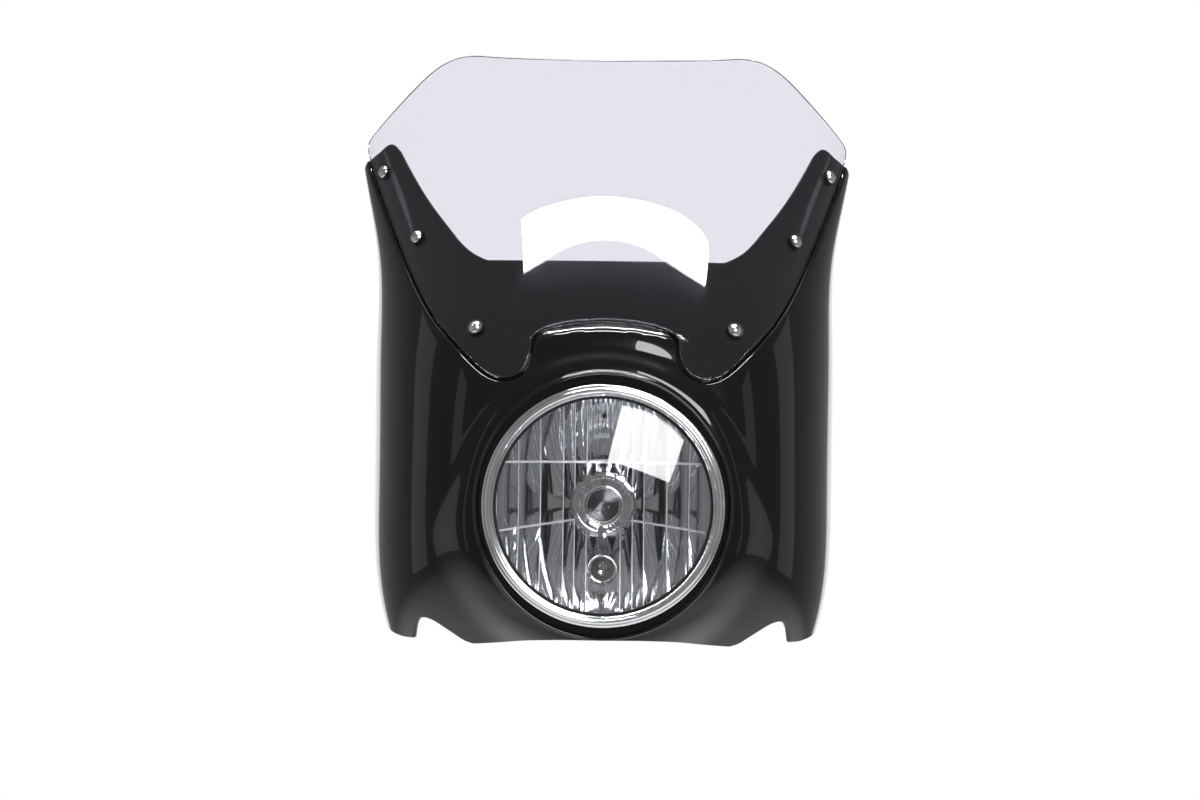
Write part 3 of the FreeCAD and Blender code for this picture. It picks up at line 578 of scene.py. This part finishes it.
def make_shell():
    """The moulding as one closed mesh: rounded edges, a joggled recess and a lip with a return."""
    flat = np.array((UNROLLED, 1.0))
    border = shell_border()
    recess = recess_edge()
    recess_place, _, _, _ = shell_frame(recess)
    _, recess_out = side_step(recess, 0.0, False)
    place = shell_point(border[:, 0], border[:, 1])
    off_axis = np.abs(place[:, 0])
    chin = (off_axis < CHIN_HALF_WIDTH) & (place[:, 2] < CHIN_TOP)
    rounder = soft_step((off_axis - CHIN_BLEND_START) / CHIN_BLEND_WIDTH)
    bend = np.where(chin, CHIN_ROUND + (EDGE_ROUND - CHIN_ROUND) * rounder, EDGE_ROUND)

    rows, sinks, level, links = [], [], [], []

    def add_line(line, sink, smooth_there, closed):
        start = sum(len(row) for row in rows)
        rows.append(line)
        sinks.append(np.broadcast_to(sink, len(line)))
        level.append(np.full(len(line), smooth_there))
        last = len(line) if closed else len(line) - 1
        links.extend((start + k, start + (k + 1) % len(line)) for k in range(last))

    for angle in QUARTER[::-1]:
        line, _ = side_step(border, bend * (1 - np.sin(angle)), True)
        add_line(line, bend * (1 - np.cos(angle)), angle == 0, True)
    border_count = len(border)
    inner_ring = side_step(border, bend + BORDER_CLEARANCE, True)[0] * flat

    theta = np.linspace(0, 2 * np.pi, MOUTH_POINTS, endpoint=False)
    circle = np.stack([np.cos(theta), np.sin(theta)], -1)
    rise = (circle[:, 1] * MOUTH[1] + LIP_FILLET_DROP) / LIP_FILLET_BLEND
    fillet = LIP_FILLET + LIP_FILLET_GAIN * soft_step(rise)
    mouth = on_shell(circle * (MOUTH + LIP_WALL + fillet[:, None]))
    mouth_start = border_count * len(QUARTER)
    add_line(mouth, 0.0, True, True)
    mouth_ring = mouth * flat

    for side, sink in zip(STEP_SIDE, STEP_SINK):
        line, _ = side_step(recess, side, False)
        kept = within(line * flat, inner_ring)
        add_line(line[kept], sink, side >= STEP_ROUND or sink == RECESS, False)

    fixed = np.concatenate(rows)
    rings = np.concatenate([on_shell(circle * (MOUTH + LIP_WALL + fillet[:, None] + RING_GAP * (k + 1)))
                            for k in range(RING_COUNT)]) * flat
    rings = rings[within(rings, inner_ring)]
    rings = rings[nearest(rings, fixed * flat)[1] > RING_GAP * CLEAR_SHARE]
    fill = fill_points(np.concatenate([fixed * flat, rings]), inner_ring, FILL_SPACING)
    fill = np.concatenate([rings, fill[~within(fill, mouth_ring)]])
    rows.append(fill / flat)
    sinks.append(np.zeros(len(fill)))
    level.append(np.full(len(fill), True))
    line, sink, level = np.concatenate(rows), np.concatenate(sinks), np.concatenate(level)

    point, _, _, normal = shell_frame(line)
    index, reach = nearest(point, recess_place)
    away = ((point - recess_place[index]) * recess_out[index]).sum(1)
    side = np.where(np.abs(away) < STEP_REACH, away, np.copysign(reach, away))
    on_step = np.zeros(len(line), bool)
    on_step[mouth_start + MOUTH_POINTS:len(fixed)] = True
    front = np.where(on_step, sink, sink + front_sink(side))
    back = np.maximum(back_sink(side), front + LEAST_WALL)

    tris = triangles(line * flat, links, border * flat)
    tris = tris[~within((line * flat)[tris].mean(1), mouth_ring)]

    count = len(line)
    points = [point - normal * front[:, None], point - normal * back[:, None]]
    faces = [tuple(tri) for tri in tris] + [tuple(tri[::-1] + count) for tri in tris]
    for k in range(border_count):
        after = (k + 1) % border_count
        faces.append((after, k, k + count, after + count))

    root = point[mouth_start:mouth_start + MOUTH_POINTS, 1] + SETBACK
    loops = []

    def add_loop(offset, depth):
        ring = circle * (MOUTH + np.reshape(offset, (-1, 1)))
        loops.append(np.stack([ring[:, 0], np.broadcast_to(depth, len(ring)) - SETBACK, ring[:, 1]], -1))

    for angle in QUARTER[1:]:
        add_loop(LIP_WALL + fillet * (1 - np.sin(angle)), root - fillet * (1 - np.cos(angle)))
    nose = LIP_WALL / 2
    for angle in np.radians(np.linspace(0, 180, LIP_NOSE_POINTS)):
        add_loop(nose + nose * np.cos(angle), LIP_FRONT + nose - nose * np.sin(angle))
    add_loop(0.0, LIP_BACK - LIP_RETURN)
    for depth in (LIP_BACK - LIP_RETURN, LIP_BACK):
        loops.append(np.stack([circle[:, 0] * THROAT, np.full(MOUTH_POINTS, depth - SETBACK),
                               circle[:, 1] * THROAT], -1))
    add_loop(LIP_WALL, LIP_BACK)
    add_loop(LIP_WALL, root + SHELL_WALL)
    starts = [mouth_start] + [2 * count + MOUTH_POINTS * k for k in range(len(loops))] + [count + mouth_start]
    points += loops
    for near, far in zip(starts, starts[1:]):
        for k in range(MOUTH_POINTS):
            after = (k + 1) % MOUTH_POINTS
            faces.append((near + k, near + after, far + after, far + k))

    total = 2 * count + MOUTH_POINTS * len(loops)
    boss_points, boss_faces = make_bosses(total)
    points = np.concatenate(points + [boss_points])
    faces += boss_faces
    shell = add_piece("shell_moulding", points, faces, "fairing", "black_shell", "fairing_shell")
    smooth_shell(shell.data, count, level, normal)


def make_bosses(start):
    """The four bosses that the stays are bolted to, turned about X."""
    turns = BOSS_TURNS
    theta = np.linspace(0, 2 * np.pi, turns, endpoint=False)
    profile = ((BOSS_RADIUS, 0.0), (BOSS_RADIUS, BOSS_LENGTH - BOSS_CHAMFER),
               (BOSS_RADIUS - BOSS_CHAMFER, BOSS_LENGTH), (BOSS_BORE, BOSS_LENGTH),
               (BOSS_BORE, BOSS_LENGTH - BOSS_BORE_DEPTH))
    points, faces = [], []
    for side in (-1, 1):
        for height in (BOSS_LEVEL, -BOSS_LEVEL):
            across = np.linspace(0, 1, BOSS_SAMPLES)
            section = shell_point(across, np.full(BOSS_SAMPLES, height))
            wall_x = np.interp(BOSS_DEPTH - SETBACK, section[:, 1], section[:, 0]) - SHELL_WALL / 2
            first = start + len(points) * turns
            for radius, length in profile:
                points.append(np.stack([np.full(turns, side * (wall_x - length)),
                                        BOSS_DEPTH - SETBACK + radius * np.cos(theta),
                                        height + radius * np.sin(theta)], -1))
            for row in range(len(profile) - 1):
                for k in range(turns):
                    after = (k + 1) % turns
                    near, far = first + row * turns, first + (row + 1) * turns
                    quad = (near + k, near + after, far + after, far + k)
                    faces.append(quad if side < 0 else quad[::-1])
            faces.append(tuple(first + k for k in range(turns)))
            faces.append(tuple(first + (len(profile) - 1) * turns + k for k in range(turns)))
    return np.concatenate(points), faces


def smooth_shell(mesh, count, level, normal):
    """Shading: creases by angle, and the formula's own normals where the skin runs smooth."""
    mesh.set_sharp_from_angle(angle=CREASE)
    corner = np.empty(len(mesh.loops), np.int32)
    mesh.loops.foreach_get("vertex_index", corner)
    wanted = np.zeros((len(corner), 3))
    outer = corner < count
    outer[outer] = level[corner[outer]]
    wanted[outer] = normal[corner[outer]]
    inner = (corner >= count) & (corner < 2 * count)
    sizes = np.empty(len(mesh.polygons), np.int32)
    mesh.polygons.foreach_get("loop_total", sizes)
    triangle = np.repeat(sizes == 3, sizes)
    inner[inner] = level[corner[inner] - count]
    inner &= triangle
    wanted[inner] = -normal[corner[inner] - count]
    mesh.normals_split_custom_set([tuple(row) for row in wanted])


def turned_rows(profile, turns, centre=(0.0, 0.0)):
    """Rings of points and their quads from (radius, depth) corners, about an axis along the headlight."""
    theta = np.linspace(0, 2 * np.pi, turns, endpoint=False)
    x, z = np.cos(theta), np.sin(theta)
    points = np.concatenate([
        np.stack([centre[0] + radius * x, np.full(turns, depth - SETBACK), centre[1] + radius * z], -1)
        for radius, depth in profile])
    faces = []
    for row in range(len(profile) - 1):
        near, far = row * turns, (row + 1) * turns
        faces += [(near + k, near + (k + 1) % turns, far + (k + 1) % turns, far + k) for k in range(turns)]
    return points, faces


def mirror_depth(x, z, zone, s, width):
    """Depth of the mirror: a parabola with convex upright flutes and a middle band that stands proud."""
    four_f = MIRROR_RADIUS ** 2 / MIRROR_DEPTH
    depth = MIRROR_APEX - (x * x + z * z) / four_f + np.where(zone == 1, SPLIT_STEP, 0.0)
    narrow = (zone == 2) & (np.abs(x) < MIDDLE_EDGE)
    ripple = (s * MIDDLE_RIPPLES + 0.5) % 1.0 * 2 - 1
    bulge = np.where(narrow, MIRROR_BULGE * width / RIPPLE_SHARE * (1 - ripple ** 2),
                     MIRROR_BULGE * width * (1 - s * s))
    return depth - bulge


def make_mirror():
    """The reflector: fluted front with splits, flange, well of the parking light and a plain back."""
    columns, edge_columns = [], set()
    for low, high in zip(MIRROR_LINES, MIRROR_LINES[1:]):
        count = MIDDLE_COLUMNS if low == -high else STRIP_COLUMNS
        s = [-1.0, *np.linspace(2 * MIRROR_EDGE / (high - low) - 1, 1, count + 1)[:-1]]
        edge_columns.add(len(columns))
        columns += [((low + high) / 2 + (high - low) / 2 * k, k, high - low) for k in s]
    columns.append((MIRROR_LINES[-1], 1.0, MIRROR_LINES[-1] - MIRROR_LINES[-2]))
    x, s, width = np.array(columns).T
    top = np.sqrt(MIRROR_RADIUS ** 2 - x * x)
    low_split = np.clip(LOWER_SPLIT - LOWER_SPLIT_SLANT * np.abs(x), -top, top)
    high_split = np.clip(UPPER_SPLIT, -top, top)
    grid = []
    below, above = np.maximum(low_split - SPLIT_SLOPE, -top), np.minimum(high_split + SPLIT_SLOPE, top)
    spans = ((-top, below), (low_split, high_split), (above, top))
    for zone, (start, end) in enumerate(spans):
        for k in np.linspace(0, 1, ZONE_ROWS[zone]):
            z = start + (end - start) * k
            across = x.copy()
            if zone == 0:
                out = np.hypot(across, z + PARKING_DROP)
                near = np.abs(out - PARKING_WELL) < WELL_SNAP
                across = np.where(near, across * PARKING_WELL / np.maximum(out, 1e-6), across)
                z = np.where(near, (z + PARKING_DROP) * PARKING_WELL / np.maximum(out, 1e-6) - PARKING_DROP, z)
            depth = mirror_depth(across, z, np.full(len(x), zone), s, width)
            grid.append(np.stack([across, depth - SETBACK, z], -1))
    grid = np.array(grid)
    edge_rows = (ZONE_ROWS[0] - 1, ZONE_ROWS[0] + ZONE_ROWS[1] - 1)
    rows, cols = grid.shape[:2]
    front = grid.reshape(-1, 3)
    total = len(front)
    quads, pale = [], []
    for j in range(rows - 1):
        for i in range(cols - 1):
            corners = (j * cols + i, j * cols + i + 1, (j + 1) * cols + i + 1, (j + 1) * cols + i)
            middle = front[list(corners)].mean(0)
            if math.hypot(middle[0], middle[2]) > BULB_HOLE and math.hypot(
                    middle[0], middle[2] + PARKING_DROP) > PARKING_WELL:
                quads.append(corners)
                pale.append(j in edge_rows or i in edge_columns)
    edges = {}
    for quad in quads:
        for a, b in zip(quad, quad[1:] + quad[:1]):
            edges[(a, b)] = True
    border = [(a, b) for a, b in edges if (b, a) not in edges]
    faces = quads + [tuple(k + total for k in quad[::-1]) for quad in quads]
    faces += [(b, a, a + total, b + total) for a, b in border]
    pieces = [front, front + (0, MIRROR_WALL, 0)]
    made = 2 * total

    def add_turned(points, turned_faces):
        nonlocal made, faces
        faces = faces + [tuple(k + made for k in face) for face in turned_faces]
        pieces.append(points)
        made += len(points)

    rim = MIRROR_RADIUS + RIM_CLEARANCE
    flange_back = FLANGE_FRONT + FLANGE_WALL
    back = [(rim, FLANGE_FRONT + BACK_OFFSET), (rim, FLANGE_FRONT), (FLANGE_RADIUS, FLANGE_FRONT),
            (FLANGE_RADIUS, flange_back), (MIRROR_RADIUS + BACK_OFFSET, flange_back)]
    behind = MIRROR_APEX + BACK_OFFSET
    bowl = np.linspace(MIRROR_RADIUS + BOWL_EDGE, COLLAR_RADIUS, BOWL_ROWS)
    back += [(r, behind - (r - BOWL_SHIFT) ** 2 * MIRROR_DEPTH / MIRROR_RADIUS ** 2) for r in bowl]
    collar = BULB_HOLE - COLLAR_CLEARANCE
    back += [(COLLAR_RADIUS, behind), (collar, behind), (collar, MIRROR_APEX - COLLAR_REACH)]
    add_turned(*turned_rows(back, MIRROR_TURNS))
    count = WELL_POINTS
    theta = np.linspace(0, 2 * np.pi, count, endpoint=False)
    well_x = PARKING_WELL * np.cos(theta)
    well_z = PARKING_WELL * np.sin(theta) - PARKING_DROP
    lip = mirror_depth(well_x, well_z, np.zeros(count), well_x / MIDDLE_EDGE, 2 * MIDDLE_EDGE) - SETBACK
    rings = [np.stack([well_x, depth, well_z], -1) for depth in (lip, np.full(count, PARKING_SEAT - SETBACK))]
    add_turned(np.concatenate(rings), [
        (k, (k + 1) % count, count + (k + 1) % count, count + k) for k in range(count)])
    mirror = add_piece("mirror", np.concatenate(pieces), faces, "headlight", "mirror_coat", "reflector")
    mirror.data.set_sharp_from_angle(angle=MIRROR_CREASE)
    mirror.data.materials.append(finish_material("mirror_edge", pale_metal))
    index = np.zeros(len(mirror.data.polygons), np.int32)
    index[:len(pale)] = pale
    mirror.data.polygons.foreach_set("material_index", index)


def make_shield_face():
    """The black turned disc on the front of the bulb shield, and the polished cup round it."""
    groove = SHIELD_FRONT - GROOVE_DEPTH
    profile = [(SHIELD_FACE + FACE_BEVEL_WIDTH, SHIELD_FRONT + FACE_BEVEL_DEPTH), (SHIELD_FACE, SHIELD_FRONT)]
    pitch = SHIELD_FACE / SHIELD_GROOVES
    for k in range(SHIELD_GROOVES - 1, 0, -1):
        profile += [(pitch * (k + 0.5), groove), (pitch * k, SHIELD_FRONT)]
    profile += [(FACE_MIDDLE, groove), (ON_AXIS, groove)]
    points, faces = turned_rows(profile[::-1], SHIELD_TURNS)
    disc = add_piece("shield_face", points, faces, "headlight", "black_paint")
    disc.data.materials[0] = finish_material("turned_black", metal((0.1, 0.1, 0.11), 0.2, 0.08, 150.0))
    disc.data.set_sharp_from_angle(angle=SHIELD_CREASE)
    points, faces = turned_rows(SHIELD_CUP, SHIELD_TURNS)
    add_piece("shield_cup", points, faces, "headlight", "polished_steel")


def make_parking_bezel():
    """Bright ring and dark well round the parking light's bulb, and the small vent above."""
    parking = (0.0, -PARKING_DROP)
    for name, profile, turns, centre, slot in (
            ("parking_bezel", PARKING_RING, PARKING_TURNS, parking, "polished_steel"),
            ("parking_well", PARKING_DISH, PARKING_TURNS, parking, "black_nylon"),
            ("vent_plug", VENT, VENT_TURNS, (0.0, VENT_HEIGHT), "black_nylon")):
        points, faces = turned_rows(profile, turns, centre)
        add_piece(name, points, faces, "headlight", slot)


def glow(colour, strength):
    """A lit panel that the camera looks through."""
    def shader(tree):
        seen = add_node(tree, "ShaderNodeLightPath", None, None, "Is Camera Ray")
        lit = add_node(tree, "ShaderNodeEmission", None, {"Color": (*colour, 1), "Strength": strength})
        clear = add_node(tree, "ShaderNodeBsdfTransparent")
        return add_node(tree, "ShaderNodeMixShader", None, {0: seen, 1: lit, 2: clear})
    return shader


def sheet(name, width, height, place, turn, shader):
    """A flat stage panel facing its own +Z."""
    mesh = bpy.data.meshes.new(name)
    w, h = width / 2, height / 2
    mesh.from_pydata([(-w, -h, 0), (w, -h, 0), (w, h, 0), (-w, h, 0)], [], [(0, 1, 2, 3)])
    panel = bpy.data.objects.new(name, mesh)
    panel.matrix_world = Matrix.Translation(place) @ Euler(turn).to_matrix().to_4x4()
    bpy.context.scene.collection.objects.link(panel)
    mesh.materials.append(finish_material(name, shader))


def fading_floor(tree):
    """Pale floor that thins out towards its edge."""
    place = add_node(tree, "ShaderNodeTexCoord", None, None, "Object")
    out = add_node(tree, "ShaderNodeVectorMath", {"operation": "LENGTH"}, {0: place}, "Value")
    fade = add_node(tree, "ShaderNodeMapRange", {"interpolation_type": "SMOOTHSTEP"}, {
        "Value": out, "From Min": FLOOR_FADE_START, "From Max": FLOOR_RADIUS})
    pale = plain((0.6, 0.6, 0.6), 0.6, 8.0, 0.05)(tree)
    clear = add_node(tree, "ShaderNodeBsdfTransparent")
    return add_node(tree, "ShaderNodeMixShader", None, {0: fade, 1: pale, 2: clear})


def softbox(name, width, height, place, target, power, roll):
    """A rectangular soft lamp aimed at a target."""
    light = bpy.data.lights.new(name, "AREA")
    light.shape = "RECTANGLE"
    light.size = width
    light.size_y = height
    light.energy = power
    lamp = bpy.data.objects.new(name, light)
    aim = (Vector(target) - Vector(place)).to_track_quat("-Z", "Y").to_matrix().to_4x4()
    lamp.matrix_world = Matrix.Translation(place) @ aim @ Matrix.Rotation(roll, 4, "Z")
    bpy.context.scene.collection.objects.link(lamp)


def make_studio():
    """Floor, backdrop, side strips, softboxes, sky and camera."""
    rim_low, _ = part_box("headlight_rim")
    front = rim_low.y
    floor = bpy.data.meshes.new("floor")
    turns = [2 * math.pi * k / FLOOR_CORNERS for k in range(FLOOR_CORNERS)]
    ring = [(FLOOR_RADIUS * math.cos(turn), FLOOR_RADIUS * math.sin(turn), FLOOR_LEVEL) for turn in turns]
    floor.from_pydata(ring, [], [tuple(range(FLOOR_CORNERS))])
    disc = bpy.data.objects.new("floor", floor)
    bpy.context.scene.collection.objects.link(disc)
    floor.materials.append(finish_material("floor", fading_floor))
    sheet("backdrop", BACKDROP_WIDTH, BACKDROP_HEIGHT, (0, BACKDROP_DISTANCE, BACKDROP_MIDDLE),
          (math.pi / 2, 0, 0), glow((1, 1, 1), 1.0))
    for side, side_name in ((-1, "left"), (1, "right")):
        for name, bearing, width in STRIPS:
            angle = math.radians(bearing)
            place = (side * STRIP_DISTANCE * math.sin(angle), front - STRIP_DISTANCE * math.cos(angle),
                     STRIP_MIDDLE)
            turn = (math.pi / 2, 0, side * (math.pi - angle) + math.pi)
            sheet(f"{name}_{side_name}", width, STRIP_HEIGHT, place, turn, glow(STRIP_COLOUR, STRIP_GLOW))
    for name, width, height, place, target, power, roll in SOFTBOXES:
        place, target = [(x, front + y, z) for x, y, z in (place, target)]
        softbox(name, width, height, place, target, power, roll)

    world = bpy.data.worlds.new("studio")
    bpy.context.scene.world = world
    world.use_nodes = True
    tree = world.node_tree
    tree.nodes.clear()
    seen, through, glossy_depth = [add_node(tree, "ShaderNodeLightPath", None, None, ray) for ray in (
        "Is Camera Ray", "Is Transmission Ray", "Glossy Depth")]
    reflected = glossy_depth.maths("GREATER_THAN", 0.5)
    strength = SKY_LIGHT + SKY_SEEN * seen + SKY_MIRRORED * reflected + SKY_SEEN * through * (1 - reflected)
    sky = add_node(tree, "ShaderNodeBackground", None, {"Color": (1, 1, 1, 1), "Strength": strength})
    add_node(tree, "ShaderNodeOutputWorld", None, {"Surface": sky})

    lens = bpy.data.cameras.new("camera")
    lens.sensor_width = SENSOR
    lens.lens = SENSOR * CAMERA_DISTANCE / FRAME_WIDTH
    camera = bpy.data.objects.new("camera", lens)
    place = Matrix.Translation((CAMERA_SIDE, front - CAMERA_DISTANCE, CAMERA_HEIGHT))
    level = Euler((math.pi / 2, 0, 0)).to_matrix().to_4x4()
    camera.matrix_world = place @ level @ Matrix.Rotation(CAMERA_ROLL, 4, "Z")
    bpy.context.scene.collection.objects.link(camera)
    bpy.context.scene.camera = camera
    bpy.context.scene.view_settings.view_transform = "Standard"


dress_nodes()
make_shell()
make_screen()
make_mirror()
make_shield_face()
make_parking_bezel()
make_studio()
